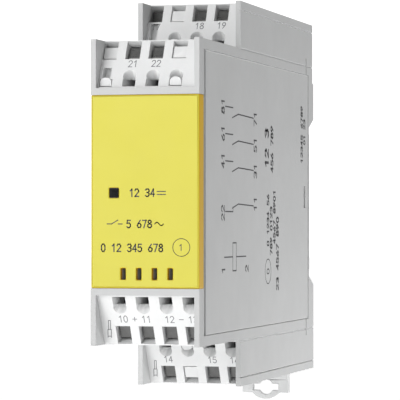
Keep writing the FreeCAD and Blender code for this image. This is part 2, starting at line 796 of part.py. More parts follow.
def board_cylinder(label, depth, height, radius, length):
    """A round part standing on the board."""
    body = new_body(label)
    round_prism(body, "YZ", BOARD, BOARD + " + " + length, depth, height, radius)
    return body


def resistors():
    """Four axial resistors lying on the board, one solid each."""
    solids = []
    for row in range(int(size("resistor_count"))):
        low = FreeCAD.Vector(0, 0, row * size("resistor_pitch"))
        solids.append(Part.makeCylinder(size("resistor_radius"), size("resistor_length"), low))
    new_feature("resistors", Part.makeCompound(solids), BOARD + " + resistor_radius",
                FRONT + " + resistor_depth", "-resistor_low")


def up(height):
    """A height above the board, as a place along X."""
    return "(%s - %s)" % (height, BOARD_FACE)


def along(distance):
    """A distance from the relay's lower end, as a place along Z."""
    return "(%s - relay_low)" % distance


RELAY_MIDDLE = "(-relay_centre)"


def across_relay(half):
    return ("-relay_centre - (%s)" % half, "(%s) - relay_centre" % half)


# ---------------------------------------------------------------- relay

def relay_cover():
    body = new_body("relay_cover")
    box(body, (BOARD, up(RELAY_UP)), across_relay("relay_width/2"), (along("0"), along("relay_length")))
    inner = "(relay_width/2 - relay_wall)"
    box(body, (BOARD + " - beyond", up(RELAY_UP + " - relay_wall")), across_relay(inner),
        (along("relay_wall"), along("relay_length - relay_wall")), cut=True)


def moving_leaf_place(index):
    return "(contact_first + %d*contact_pitch)" % index


def fixed_leaf_place(index, opens):
    """The fixed contact stands below a leaf that closes, above one that opens."""
    reach = "(leaf_metal/2 + contact_metal*2 + fixed_metal/2 + %s)"
    if opens:
        return "(%s + %s)" % (moving_leaf_place(index), reach % "closed_gap")
    return "(%s - %s)" % (moving_leaf_place(index), reach % "contact_gap")


# Each contact, and whether it opens when the coil pulls in; the others close.
CONTACTS = ((0, False), (1, False), (2, False), (3, True))


def relay_base():
    """The moulded base, with a wall between the contact chambers."""
    body = new_body("relay_base")
    inner = "(relay_width/2 - relay_wall)"
    box(body, (BOARD, up("base_metal")), across_relay(inner),
        (along("relay_wall"), along("relay_length - relay_wall")))
    for index, _ in CONTACTS:
        middle = "(%s - barrier_below)" % moving_leaf_place(index)
        box(body, (up("base_metal - overlap"), up(UNDER_CARD)), across_relay(inner),
            (along(middle + " - barrier/2"), along(middle + " + barrier/2")))
    for index, opens in CONTACTS:
        place = fixed_leaf_place(index, opens)
        box(body, (BOARD + " - beyond", up("base_metal + beyond")), across_relay("leaf_width/2"),
            (along(place + " - fixed_metal/2"), along(place + " + fixed_metal/2")), cut=True)
        place = moving_leaf_place(index)
        box(body, (BOARD + " - beyond", up("base_metal + beyond")), across_relay("pin_size/2"),
            (along(place + " - leaf_metal"), along(place + " + leaf_metal")), cut=True)
    return body


def relay_pins():
    """The pins under the moving contacts, one solid each."""
    solids = []
    for index, _ in CONTACTS:
        height = index * size("contact_pitch") - size("leaf_metal")
        corner = FreeCAD.Vector(0, -size("pin_size") / 2, height)
        solids.append(Part.makeBox(size("base_metal"), size("pin_size"), 2 * size("leaf_metal"), corner))
    new_feature("relay_pins", Part.makeCompound(solids), BOARD, "-relay_centre", along("contact_first"))


def fixed_contact(index, opens):
    body = new_body("fixed_contact_%d" % (index + 1))
    place = fixed_leaf_place(index, opens)
    box(body, (BOARD, up(CONTACT_UP + " + contact_rise")), across_relay("leaf_width/2"),
        (along(place + " - fixed_metal/2"), along(place + " + fixed_metal/2")))
    low, high = place + " + fixed_metal/2", place + " + fixed_metal/2 + contact_metal"
    if opens:
        low, high = place + " - fixed_metal/2 - contact_metal", place + " - fixed_metal/2"
    round_prism(body, "XY", along(low), along(high), up(CONTACT_UP), RELAY_MIDDLE, "contact_radius")


def moving_contact(index, opens):
    body = new_body("moving_contact_%d" % (index + 1))
    place = moving_leaf_place(index)
    box(body, (up("leaf_root"), up(PAST_CARD)), across_relay("leaf_width/2"),
        (along(place + " - leaf_metal/2"), along(place + " + leaf_metal/2")))
    low, high = place + " - leaf_metal/2 - contact_metal", place + " - leaf_metal/2"
    if opens:
        low, high = place + " + leaf_metal/2", place + " + leaf_metal/2 + contact_metal"
    round_prism(body, "XY", along(low), along(high), up(CONTACT_UP), RELAY_MIDDLE, "contact_radius")


def coil_bobbin():
    body = new_body("coil_bobbin")
    tube = "(core_radius + core_play + bobbin_wall)"
    low, high = "(relay_wall + iron + coil_gap)", "(coil_end + coil_gap)"
    round_prism(body, "XY", along(low), along(high), up("coil_up"), RELAY_MIDDLE, tube)
    for start, end in ((low, low + " + flange_metal"), (high + " - flange_metal", high)):
        box(body, (up("coil_up - flange_half"), up("coil_up + flange_half")), across_relay("flange_half"),
            (along(start), along(end)))
    round_prism(body, "XY", along(low + " - beyond"), along(high + " + beyond"), up("coil_up"), RELAY_MIDDLE,
                "core_radius + core_play", cut=True)


def coil_winding():
    body = new_body("coil_winding")
    low, high = "relay_wall + iron + coil_gap + flange_metal", "coil_end + coil_gap - flange_metal"
    round_prism(body, "XY", along(low), along(high), up("coil_up"), RELAY_MIDDLE, "coil_radius")
    round_prism(body, "XY", along(low + " - beyond"), along(high + " + beyond"), up("coil_up"), RELAY_MIDDLE,
                "core_radius + core_play + bobbin_wall", cut=True)


def coil_core():
    body = new_body("coil_core")
    round_prism(body, "XY", along("relay_wall + iron"), along("coil_end + core_stand"), up("coil_up"),
                RELAY_MIDDLE, "core_radius")


ARMATURE_LOW = "(coil_end + core_stand + armature_gap)"


def relay_yoke():
    """The iron angle: along the base, then up behind the coil to the core."""
    body = new_body("relay_yoke")
    front, back = across_relay("iron_width/2")
    foot, inside = up("base_metal"), up("base_metal + iron")
    arm = up("coil_up + core_radius + yoke_margin")
    low, high = along("relay_wall"), along(ARMATURE_LOW + " - hinge_gap")
    shelf = along("relay_wall + iron")
    prism(body, "XZ", front, back, [
        (foot, low), (arm, low), (arm, shelf), (inside, shelf), (inside, high), (foot, high),
    ])


def armature():
    """The iron flap that the coil pulls; its upper end drives the contact card."""
    body = new_body("armature")
    low, high = along(ARMATURE_LOW), along(ARMATURE_LOW + " + iron")
    box(body, (up("base_metal + hinge_gap"), up(UNDER_CARD)), across_relay("iron_width/2"), (low, high))
    box(body, (up(UNDER_CARD + " - overlap"), up(PAST_CARD)), across_relay("leaf_width/2"), (low, high))


def contact_card():
    """The card that ties every moving contact to the armature, so that they move together."""
    body = new_body("contact_card")
    low, high = up(CARD_UP + " - card_metal/2"), up(CARD_UP + " + card_metal/2")
    box(body, (low, high), across_relay("card_half"),
        (along(ARMATURE_LOW + " - card_lead"), along(moving_leaf_place(3) + " + card_tail")))
    tall = (low + " - beyond", high + " + beyond")
    slot = across_relay("leaf_width/2 + card_play")
    box(body, tall, slot, (along(ARMATURE_LOW + " - card_play"), along(ARMATURE_LOW + " + iron + card_play")),
        cut=True)
    for index, _ in CONTACTS:
        place = moving_leaf_place(index)
        box(body, tall, slot, (along(place + " - leaf_metal/2 - card_play"),
                               along(place + " + leaf_metal/2 + card_play")), cut=True)


# ---------------------------------------------------------------- rail clip

def din_clip():
    """The sliding clip: a jaw behind the rail's lower edge, side flanges and a pull ring."""
    body = new_body("din_clip")
    back = "(%s + clip_metal)" % CLIP_FRONT
    top = "clip_reach - rail_width/2"
    foot = "(%s - foot_metal)" % back
    prism(body, "YZ", "-" + CLIP_HALF, CLIP_HALF, [
        (CLIP_FRONT, "-foot_above"), (foot, "-foot_above"), (foot, "-clip_shoulder"),
        (back, "-clip_shoulder"), (back, top + " - jaw_bevel"), (CLIP_FRONT + " + jaw_nose", top),
        (CLIP_FRONT, top),
    ])
    box(body, ("-" + FLANGE_HALF, FLANGE_HALF), (CLIP_FRONT, CLIP_FRONT + " + clip_flange"),
        ("-clip_flange_low", "-clip_flange_high"))
    round_prism(body, "XZ", foot, back, "0", "foot_radius - clip_foot", "foot_radius")
    through = (CLIP_FRONT + " - beyond", back + " + beyond")
    box(body, ("-window_half", "window_half"), through, ("-window_low", "-window_high"), cut=True)
    round_prism(body, "XZ", *through, "0", "-ring_centre", "ring_radius", cut=True)
    box(body, ("-ring_slot/2", "ring_slot/2"), through,
        ("-ring_centre - ring_slot_height/2", "ring_slot_height/2 - ring_centre"), cut=True)


def clip_spring():
    """The meander spring between the housing's peg and the top of the clip's window."""
    metal, side = size("coil_metal"), size("coil_half")
    low = metal / 2 + size("coil_play") - size("peg_high")
    high = -size("window_high") - metal / 2 - size("coil_play")
    turns = int(size("coil_turns"))
    step = (high - low) / turns
    path = [(-side, low)]
    for turn in range(turns):
        path += [(side, low + step * turn), (side, low + step * (turn + 1))]
        side = -side
    path.append((side, high))
    shape = bent_strip(path, size("coil_bend"), metal, size("clip_metal") - size("coil_inset"))
    flat = FreeCAD.Rotation(FreeCAD.Vector(1, 0, 0), 90)
    new_feature("clip_spring", shape, "0", CLIP_FRONT + " + clip_metal/2", "0", flat)


def check(item):
    """Stop where an object or its shape did not build."""
    shape = item.Shape
    if "Invalid" in item.State or "Error" in item.State or shape.isNull() or not shape.isValid():
        raise RuntimeError("%s did not build: %s" % (item.Label, item.State))


def main():
    housing()
    front_cover()
    led_lens()
    side_cover()
    for tier in TIERS:
        terminal_block(tier)
        for index in range(int(size("pole_count"))):
            if index in USED_POLES[tier]:
                busbar(tier, index)
                clamp_spring(tier, index)
            else:
                blank_insert(tier, index)
    circuit_board()
    status_led()
    board_cylinder("capacitor", FRONT + " + can_depth", "-can_low", "can_radius", "can_length")
    board_cylinder("varistor", FRONT + " + disc_depth", "disc_high", "disc_radius", "disc_metal")
    resistors()
    relay_cover()
    relay_base()
    relay_pins()
    coil_bobbin()
    coil_winding()
    coil_core()
    relay_yoke()
    armature()
    contact_card()
    for index, opens in CONTACTS:
        fixed_contact(index, opens)
        moving_contact(index, opens)
    din_clip()
    clip_spring()
    doc.recompute()
    for item in doc.Objects:
        if "Invalid" in item.State or "Error" in item.State:
            raise RuntimeError("%s did not build: %s" % (item.Label, item.State))
    os.makedirs("parts", exist_ok=True)
    for part in PARTS:
        check(part)
        part.Shape.exportStep("parts/%s.step" % part.Label)


main()
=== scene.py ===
import json
import math

import bmesh
import bpy
from mathutils import Matrix, Vector


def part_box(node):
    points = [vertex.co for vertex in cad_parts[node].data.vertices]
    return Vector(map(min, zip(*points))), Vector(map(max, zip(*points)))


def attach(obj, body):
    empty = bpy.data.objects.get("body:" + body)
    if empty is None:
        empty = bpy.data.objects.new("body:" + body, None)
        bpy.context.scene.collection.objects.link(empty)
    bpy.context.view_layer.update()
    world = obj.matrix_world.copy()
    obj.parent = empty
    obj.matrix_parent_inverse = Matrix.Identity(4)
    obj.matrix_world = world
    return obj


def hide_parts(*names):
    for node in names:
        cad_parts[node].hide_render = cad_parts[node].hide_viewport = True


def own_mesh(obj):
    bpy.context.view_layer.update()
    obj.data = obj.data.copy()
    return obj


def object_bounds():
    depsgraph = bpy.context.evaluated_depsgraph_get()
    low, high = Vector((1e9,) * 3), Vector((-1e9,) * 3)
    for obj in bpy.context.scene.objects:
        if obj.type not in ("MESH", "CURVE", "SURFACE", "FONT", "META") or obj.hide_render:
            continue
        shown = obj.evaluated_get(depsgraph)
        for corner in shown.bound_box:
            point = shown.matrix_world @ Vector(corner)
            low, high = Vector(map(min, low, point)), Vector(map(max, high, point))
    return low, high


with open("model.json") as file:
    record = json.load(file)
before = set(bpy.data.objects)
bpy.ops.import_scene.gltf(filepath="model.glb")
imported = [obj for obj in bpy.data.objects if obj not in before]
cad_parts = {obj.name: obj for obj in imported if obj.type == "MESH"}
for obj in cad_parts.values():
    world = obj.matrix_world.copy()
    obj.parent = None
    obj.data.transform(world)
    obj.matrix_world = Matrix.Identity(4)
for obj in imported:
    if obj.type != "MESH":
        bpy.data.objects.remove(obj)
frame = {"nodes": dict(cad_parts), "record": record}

MM = 0.001
NODES = frame["nodes"]
cad_low, cad_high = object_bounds()
WAVE_RATE = 3.18           # repeats of the wave texture in each unit of its scale


# ---------------------------------------------------------------- small helpers

def node_names(*starts):
    """The CAD nodes whose names start with one of these words."""
    return [name for name in sorted(NODES) if name.startswith(starts)]


def link_object(name, data):
    """A new object in the scene's own collection."""
    piece = bpy.data.objects.new(name, data)
    bpy.context.scene.collection.objects.link(piece)
    return piece


class Finish:
    """One material's node tree, with the few nodes that every finish here is made from."""

    def __init__(self, name):
        self.material = bpy.data.materials.new(name)
        self.material.use_nodes = True
        self.tree = self.material.node_tree
        self.surface = self.tree.nodes["Principled BSDF"]
        self.place = self.tree.nodes.new("ShaderNodeTexCoord").outputs["Object"]

    def set(self, **values):
        for word, value in values.items():
            self.surface.inputs[word.replace("_", " ")].default_value = value

    def wire(self, output, word):
        self.tree.links.new(output, self.surface.inputs[word])

    def stretched(self, across, depth, height):
        """The object's own coordinates, scaled along each axis."""
        node = self.tree.nodes.new("ShaderNodeMapping")
        node.inputs["Scale"].default_value = (across, depth, height)
        self.tree.links.new(self.place, node.inputs["Vector"])
        return node.outputs["Vector"]

    def noise(self, size, detail=2.0, roughness=0.5, place=None):
        """Noise whose grains are about this size, in metres."""
        node = self.tree.nodes.new("ShaderNodeTexNoise")
        node.inputs["Scale"].default_value = 1 / size
        node.inputs["Detail"].default_value = detail
        node.inputs["Roughness"].default_value = roughness
        self.tree.links.new(place or self.place, node.inputs["Vector"])
        return node.outputs["Fac"]

    def cells(self, size, feature="F1", place=None):
        """Irregular cells of about this size, in metres."""
        node = self.tree.nodes.new("ShaderNodeTexVoronoi")
        node.feature = feature
        node.inputs["Scale"].default_value = 1 / size
        self.tree.links.new(place or self.place, node.inputs["Vector"])
        return node.outputs["Distance"]

    def waves(self, size, axis, place=None, distortion=0.0):
        """Bands of this size along one axis."""
        node = self.tree.nodes.new("ShaderNodeTexWave")
        node.bands_direction = axis
        node.inputs["Scale"].default_value = 1 / size / WAVE_RATE
        node.inputs["Distortion"].default_value = distortion
        self.tree.links.new(place or self.place, node.inputs["Vector"])
        return node.outputs["Fac"]

    def slanted(self, low, high):
        """The product of a face's sideways and upward lean: large on eased side edges, none on flat faces."""
        parts = self.tree.nodes.new("ShaderNodeSeparateXYZ")
        normal = self.tree.nodes.new("ShaderNodeTexCoord").outputs["Normal"]
        self.tree.links.new(normal, parts.inputs["Vector"])
        both = self.tree.nodes.new("ShaderNodeMath")
        both.operation = "MULTIPLY"
        self.tree.links.new(parts.outputs["X"], both.inputs[0])
        self.tree.links.new(parts.outputs["Z"], both.inputs[1])
        return self.ranged(both.outputs["Value"], low, high)

    def ranged(self, value, low, high, least=0.0, most=1.0):
        """Map a value from low to high onto least to most."""
        node = self.tree.nodes.new("ShaderNodeMapRange")
        for word, limit in zip(("From Min", "From Max", "To Min", "To Max"), (low, high, least, most)):
            node.inputs[word].default_value = limit
        self.tree.links.new(value, node.inputs["Value"])
        return node.outputs["Result"]

    def spread(self, factor, least, most):
        """Map the middle half of a noise, where nearly all of it lies, onto least to most."""
        return self.ranged(factor, 0.25, 0.75, least, most)

    def blend(self, factor, first, second):
        """A colour between two, each a tuple or another node's output."""
        node = self.tree.nodes.new("ShaderNodeMix")
        node.data_type = "RGBA"
        self.tree.links.new(factor, node.inputs["Factor"])
        for socket, colour in (("A", first), ("B", second)):
            target = next(s for s in node.inputs if s.name == socket and s.type == "RGBA")
            if isinstance(colour, tuple):
                target.default_value = (*colour, 1.0)
            else:
                self.tree.links.new(colour, target)
        return next(s for s in node.outputs if s.type == "RGBA")

    def bump(self, heights):
        """Stack bumps, each a height factor and its depth in metres."""
        normal = None
        for height, depth in heights:
            node = self.tree.nodes.new("ShaderNodeBump")
            node.inputs["Strength"].default_value = 1.0
            node.inputs["Distance"].default_value = depth
            self.tree.links.new(height, node.inputs["Height"])
            if normal is not None:
                self.tree.links.new(normal, node.inputs["Normal"])
            normal = node.outputs["Normal"]
        self.tree.links.new(normal, self.surface.inputs["Normal"])


def toned(colour, share):
    """The colour made lighter or darker by a share."""
    return tuple(min(1.0, part * share) for part in colour)


# ---------------------------------------------------------------- finishes

PAINTED_EDGE_HIGHLIGHT = 1.75                        # painted highlight: eased upper edges are coloured brighter, as if lit


def moulded(name, colour, roughness, grain=0.00022, grain_depth=0.000006, mottle=0.03):
    """Spark-eroded mould surface: fine grain, slow tone drift and polish that varies, with a painted
    highlight on eased edges that face up and to the right.
    """
    finish = Finish(name)
    drift = finish.noise(0.012, 3)
    specks = finish.noise(0.0006, 2)
    tone = finish.blend(finish.spread(drift, 0, 1), toned(colour, 1 - mottle), toned(colour, 1 + mottle))
    tone = finish.blend(finish.spread(specks, 0, 0.25), tone, toned(colour, 1 - 2 * mottle))
    # painted highlight: faces leaning up and to the right are coloured brighter
    tone = finish.blend(finish.slanted(0.08, 0.3), tone, toned(colour, PAINTED_EDGE_HIGHLIGHT))
    finish.wire(tone, "Base Color")
    finish.wire(finish.spread(finish.noise(0.004, 3), roughness - 0.06, roughness + 0.06), "Roughness")
    finish.set(IOR=1.5)
    finish.bump([(finish.noise(grain, 2), grain_depth), (finish.noise(0.009, 1), 0.00002)])
    return finish.material


def yellow_by_facing(name, away_colour, front_facing_colour, roughness):
    """Yellow: lighter and lemon-toned on faces turned to the front, deeper and more orange on all other
    faces.
    """
    finish = Finish(name)
    facing = finish.tree.nodes.new("ShaderNodeSeparateXYZ")
    normal = finish.tree.nodes.new("ShaderNodeTexCoord").outputs["Normal"]
    finish.tree.links.new(normal, facing.inputs["Vector"])
    # faces turned to the front take the lighter lemon yellow, all others the deeper orange yellow
    front_share = finish.ranged(facing.outputs["Y"], -0.6, -0.9)
    drift = finish.spread(finish.noise(0.01, 3), 0, 1)
    body = finish.blend(drift, toned(away_colour, 0.96), toned(away_colour, 1.04))
    front_tone = finish.blend(drift, toned(front_facing_colour, 0.985), toned(front_facing_colour, 1.015))
    finish.wire(finish.blend(front_share, body, front_tone), "Base Color")
    finish.wire(finish.spread(finish.noise(0.004, 3), roughness - 0.05, roughness + 0.05), "Roughness")
    finish.bump([(finish.noise(0.0003, 2), 0.000003), (finish.noise(0.009, 1), 0.00001)])
    return finish.material


def polished_resin(name, colour, roughness):
    """Cast or dipped resin: smooth, with a clear skin and slow waves."""
    finish = Finish(name)
    tone = finish.blend(finish.spread(finish.noise(0.002, 3), 0, 1), toned(colour, 0.93), toned(colour, 1.07))
    finish.wire(tone, "Base Color")
    finish.wire(finish.spread(finish.noise(0.001, 2), roughness * 0.8, roughness * 1.25), "Roughness")
    finish.set(Coat_Weight=0.5, Coat_Roughness=0.08, IOR=1.55)
    finish.bump([(finish.noise(0.0015, 1), 0.00001)])
    return finish.material


def rolled_metal(name, colour, roughness, grain_axis=2):
    """Rolled strip: fine lines along its length, small tone changes, dull spots."""
    finish = Finish(name)
    stretch = [9.0, 9.0, 9.0]
    stretch[grain_axis] = 0.6
    lines = finish.noise(0.0012, 4, 0.7, finish.stretched(*stretch))
    spots = finish.noise(0.0011, 4)
    tone = finish.blend(finish.spread(spots, 0, 1), toned(colour, 0.88), toned(colour, 1.08))
    finish.wire(tone, "Base Color")
    finish.wire(finish.spread(lines, roughness - 0.08, roughness + 0.14), "Roughness")
    finish.set(Metallic=1.0)
    finish.bump([(lines, 0.000004)])
    return finish.material


def wound_wire(name, colour):
    """Lacquered winding: one fine turn beside the next, round Z."""
    finish = Finish(name)
    turns = finish.waves(0.00022, "Z", distortion=0.3)
    # painted shade and highlight: each turn is coloured darker in the grooves beside it and lighter on its
    # crest
    tone = finish.blend(turns, toned(colour, 0.55), toned(colour, 1.1))
    finish.wire(tone, "Base Color")
    finish.wire(finish.spread(finish.noise(0.002, 3), 0.26, 0.4), "Roughness")
    finish.set(Metallic=0.85, Coat_Weight=0.4, Coat_Roughness=0.15)
    finish.bump([(turns, 0.00004)])
    return finish.material


def lacquered_board(name):
    """Green lacquer over copper runs."""
    finish = Finish(name)
    runs = finish.cells(0.0042, "DISTANCE_TO_EDGE", finish.stretched(1, 1, 0.45))
    edge = finish.spread(runs, 0.0, 1.0)
    tone = finish.blend(edge, (0.025, 0.15, 0.05), (0.035, 0.24, 0.08))
    finish.wire(tone, "Base Color")
    finish.wire(finish.spread(finish.noise(0.003, 3), 0.22, 0.34), "Roughness")
    finish.set(Coat_Weight=0.3, Coat_Roughness=0.1)
    finish.bump([(edge, 0.00003), (finish.noise(0.0008, 2), 0.000006)])
    return finish.material


def printed_ink(name, colour):
    """Pad-printed ink: slightly uneven and a touch thin in places."""
    finish = Finish(name)
    tone = finish.blend(finish.spread(finish.noise(0.0004, 3), 0, 1), toned(colour, 0.7), toned(colour, 1.4))
    finish.wire(tone, "Base Color")
    finish.wire(finish.spread(finish.noise(0.0006, 2), 0.42, 0.6), "Roughness")
    return finish.material


HOUSING_GREY = (0.535, 0.54, 0.54)
BLOCK_GREY = (0.79, 0.795, 0.795)
CLIP_GREY = (0.68, 0.685, 0.685)
AWAY_FACE_YELLOW = (0.66, 0.4, 0.006)
FRONT_FACE_YELLOW = (0.63, 0.575, 0.045)

FINISHES = {
    "housing_plastic": moulded("grey_housing_moulding", HOUSING_GREY, 0.52),
    "cover_plastic": yellow_by_facing("yellow_cover_moulding", AWAY_FACE_YELLOW, FRONT_FACE_YELLOW, 0.42),
    "terminal_plastic": moulded("pale_terminal_moulding", BLOCK_GREY, 0.5, 0.00016, 0.000003),
    "clip_plastic": moulded("pale_clip_moulding", CLIP_GREY, 0.45, 0.00018, 0.000004),
    "lens_plastic": polished_resin("smoked_light_guide", (0.004, 0.004, 0.005), 0.1),
    "busbar_copper": rolled_metal("tinned_copper", (0.62, 0.6, 0.56), 0.3, 1),
    "spring_steel": rolled_metal("spring_steel_strip", (0.15, 0.15, 0.148), 0.3, 0),
    "board_laminate": lacquered_board("board_lacquer"),
    "led_resin": polished_resin("clear_resin", (0.75, 0.75, 0.68), 0.12),
    "capacitor_can": rolled_metal("drawn_can", (0.62, 0.64, 0.66), 0.3, 0),
    "varistor_resin": polished_resin("blue_dipped_resin", (0.02, 0.06, 0.3), 0.28),
    "resistor_resin": polished_resin("beige_dipped_resin", (0.5, 0.38, 0.2), 0.35),
    "relay_case": moulded("white_relay_case", (0.72, 0.71, 0.68), 0.35, mottle=0.02),
    "relay_moulding": moulded("dark_filled_moulding", (0.022, 0.022, 0.024), 0.45, mottle=0.12),
    "coil_wire": wound_wire("copper_winding", (0.62, 0.22, 0.07)),
    "soft_iron": rolled_metal("plated_soft_iron", (0.42, 0.43, 0.44), 0.38, 2),
    "card_plastic": moulded("orange_card_moulding", (0.62, 0.1, 0.015), 0.45, mottle=0.04),
    "contact_copper": rolled_metal("contact_strip", (0.68, 0.44, 0.18), 0.28, 0),
}


def dress_nodes():
    """Give each CAD node the finish of its material slot."""
    slots = {row["node"]: row["material_slot"] for row in frame["record"]["subparts"]}
    for name, node in NODES.items():
        node.data.materials.clear()
        node.data.materials.append(FINISHES[slots[name]])


def soften(name, width, segments=2, angle=30):
    """Break a moulding's sharp edges as its mould does."""
    node = NODES[name]
    weld = node.modifiers.new("weld", "WELD")
    weld.merge_threshold = 0.001 * MM
    bevel = node.modifiers.new("broken_edges", "BEVEL")
    bevel.width = width
    bevel.segments = segments
    bevel.limit_method = "ANGLE"
    bevel.angle_limit = math.radians(angle)
    bevel.harden_normals = True


dress_nodes()
for label in ("housing", "front_cover", "side_cover", "din_clip"):
    soften(label, 0.25 * MM, 3)
for label in node_names("terminal_block", "blank_insert"):
    soften(label, 0.12 * MM)
for label in node_names("relay_cover", "relay_base", "coil_bobbin", "contact_card", "led_lens"):
    soften(label, 0.08 * MM)


# ---------------------------------------------------------------- pieces with finer shapes

FACE_LEAN = 0.5            # the terminal faces lean back by this much of their height


def built(name, vertices, faces, finish):
    """A piece of the housing's body, in one of the finishes."""
    mesh = bpy.data.meshes.new(name)
    mesh.from_pydata(vertices, [], faces)
    shape = bmesh.new()
    shape.from_mesh(mesh)
    bmesh.ops.recalc_face_normals(shape, faces=shape.faces)
    shape.to_mesh(mesh)
    shape.free()
    mesh.materials.append(FINISHES[finish])
    piece = link_object(name, mesh)
    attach(piece, "housing")
    return piece


def rounded(path, radius, count=5):
    """The path with each inner corner eased."""
    points = [Vector(point) for point in path]
    eased = [points[0]]
    for before, corner, after in zip(points, points[1:], points[2:]):
        start = corner + (before - corner).normalized() * radius
        end = corner + (after - corner).normalized() * radius
        for step in range(count + 1):
            share = step / count
            eased.append((1 - share) ** 2 * start + 2 * share * (1 - share) * corner + share ** 2 * end)
    return eased + [points[-1]]


def strip(path, metal, low, high, place):
    """Vertices and faces of a bent strip: the path is flat, and the strip's width runs from low to high."""
    vertices, faces = [], []
    for index, point in enumerate(path):
        ways = []
        for start, end in ((index - 1, index), (index, index + 1)):
            if 0 <= start and end < len(path):
                way = (path[end] - path[start]).normalized()
                ways.append(Vector((-way.y, way.x)))
        normal = sum(ways, Vector((0, 0)))
        normal = normal * (metal / 2 / (normal.dot(ways[0])))
        for side, across in ((1, low), (1, high), (-1, high), (-1, low)):
            spot = point + side * normal
            vertices.append(place(spot.x, spot.y, across))
    for index in range(len(path) - 1):
        for corner in range(4):
            first, second = index * 4 + corner, index * 4 + (corner + 1) % 4
            faces.append((first, second, second + 4, first + 4))
    faces += [(0, 1, 2, 3), tuple(len(vertices) - 4 + corner for corner in range(4))]
    return vertices, faces


def tier_of(name, start):
    """A tier's outer edge, the way inwards from it, its height and its face's depth at a distance inwards."""
    low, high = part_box("terminal_block_" + name[len(start):].strip("_"))
    upper = "upper" in name
    height = high.z - low.z
    return (high.z, -1, height, low.y) if upper else (low.z, 1, height, low.y)


def clamp_leaf(name):
    """A push-in clamp's spring, whose free leg stands close behind the wire entry."""
    low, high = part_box(name)
    outer, inwards, height, nose = tier_of(name[:-2], "clamp_spring")
    metal, bend = 0.35 * MM, 0.35 * MM
    knee, shin, lean = 5.9 * MM, 4.9 * MM, 0.4 * MM
    floor = max(abs(low.z - outer), abs(high.z - outer)) - metal / 2

    def behind_face(inside, gap):
        return nose + FACE_LEAN * (height - inside) + gap, inside

    back = low.y + metal / 2
    path = [(high.y, floor), (back, floor), (back, knee), (back - lean, shin),
            behind_face(3.95 * MM, 1.9 * MM), behind_face(1.55 * MM, 1.7 * MM)]
    vertices, faces = strip(rounded(path, bend), metal, low.x, high.x,
                            lambda depth, inside, across: (across, depth, outer + inwards * inside))
    leaf = built("leaf_of_" + name, vertices, faces, "spring_steel")
    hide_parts(name)


def side_panel():
    """The right side's panel: eased edges, a shadow groove along its front and a snap slot."""
    low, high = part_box("side_cover")
    metal, groove_depth, closer = 1.0 * MM, 0.7 * MM, 0.08 * MM
    groove, ease, steps = 1.35 * MM, 0.3 * MM, 3
    plate, floor = high.x - metal, high.x - groove_depth
    low.z, high.z = low.z - closer, high.z + closer
    rings = [(plate, 0, 0), (floor, 0, 0), (floor, groove, 0), (high.x - ease, groove, 0)]
    for step in range(1, steps + 1):
        turn = math.radians(90 * step / steps)
        inset = ease * (1 - math.cos(turn))
        rings.append((high.x - ease * (1 - math.sin(turn)), groove, inset))
    vertices, faces = [], [(0, 1, 2, 3)]

    def ring(level, front, back, bottom, top):
        corners = ((front, bottom), (back, bottom), (back, top), (front, top))
        vertices.extend((level, *corner) for corner in corners)

    def join(first, second):
        for corner in range(4):
            after = (corner + 1) % 4
            faces.append((first + corner, first + after, second + after, second + corner))

    for level, ahead, inset in rings:
        ring(level, low.y + ahead, high.y - inset, low.z + inset, high.z - inset)
        if len(vertices) > 4:
            join(len(vertices) - 8, len(vertices) - 4)
    # the snap slot
    middle, half, centre, reach, depth = high.y - 3.9 * MM, 0.7 * MM, 1.1 * MM, 2.55 * MM, 0.6 * MM
    for level in (high.x, high.x - depth):
        ring(level, middle - half, middle + half, centre - reach, centre + reach)
        join(len(vertices) - 8, len(vertices) - 4)
    faces.append(tuple(range(len(vertices) - 4, len(vertices))))
    # the rib on its inner face
    start = len(vertices)
    margin, rib = 1.0 * MM, 1.0 * MM
    front, back, bottom, top = low.y + 13.5 * MM, high.y - 13.0 * MM, low.z + margin, high.z - margin
    for inset in (0, rib):
        for level in (plate, low.x):
            ring(level, front + inset, back - inset, bottom + inset, top - inset)
    join(start, start + 4)
    join(start + 4, start + 12)
    join(start + 12, start + 8)
    join(start + 8, start)
    panel = built("side_panel", vertices, faces, "housing_plastic")
    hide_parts("side_cover")


def clip_meander():
    """The flat spring that presses the clip up."""
    low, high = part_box("clip_spring")
    metal, bend, turns = 0.4 * MM, 0.45 * MM, 4
    side = high.x - metal / 2
    bottom, step = low.z + metal / 2, (high.z - low.z - metal) / turns
    path = [(-side, bottom)]
    for turn in range(turns):
        path += [(side, bottom + step * turn), (side, bottom + step * (turn + 1))]
        side = -side
    path.append((side, bottom + step * turns))
    vertices, faces = strip(rounded(path, bend), metal, low.y, high.y,
                            lambda across, up, depth: (across, depth, up))
    spring = built("meander_spring", vertices, faces, "spring_steel")
    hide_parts("clip_spring")
    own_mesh(spring)


for label in node_names("clamp_spring"):
    clamp_leaf(label)
side_panel()
clip_meander()


# ---------------------------------------------------------------- printed marks

INK = printed_ink("dark_print", (0.045, 0.045, 0.05))
PALE_INK = printed_ink("pale_print", (0.2, 0.2, 0.21))
INK_DEPTH = 0.02 * MM
DIGIT_HEIGHT, DIGIT_STEP = 4, 3.0       # of the grid that the digits are drawn on


def flat_mesh(name, polygons):
    """A mesh of flat shapes, each a list of 2-D points, raised by the ink's depth."""
    vertices, faces = [], []
    for shape in polygons:
        start, count = len(vertices), len(shape)
        vertices += [(x, y, INK_DEPTH) for x, y in shape] + [(x, y, 0) for x, y in shape]
        faces.append(tuple(range(start, start + count)))
        for index in range(count):
            after = (index + 1) % count
            faces.append((start + index, start + count + index, start + count + after, start + after))
    mesh = bpy.data.meshes.new(name)
    mesh.from_pydata(vertices, [], faces)
    return mesh


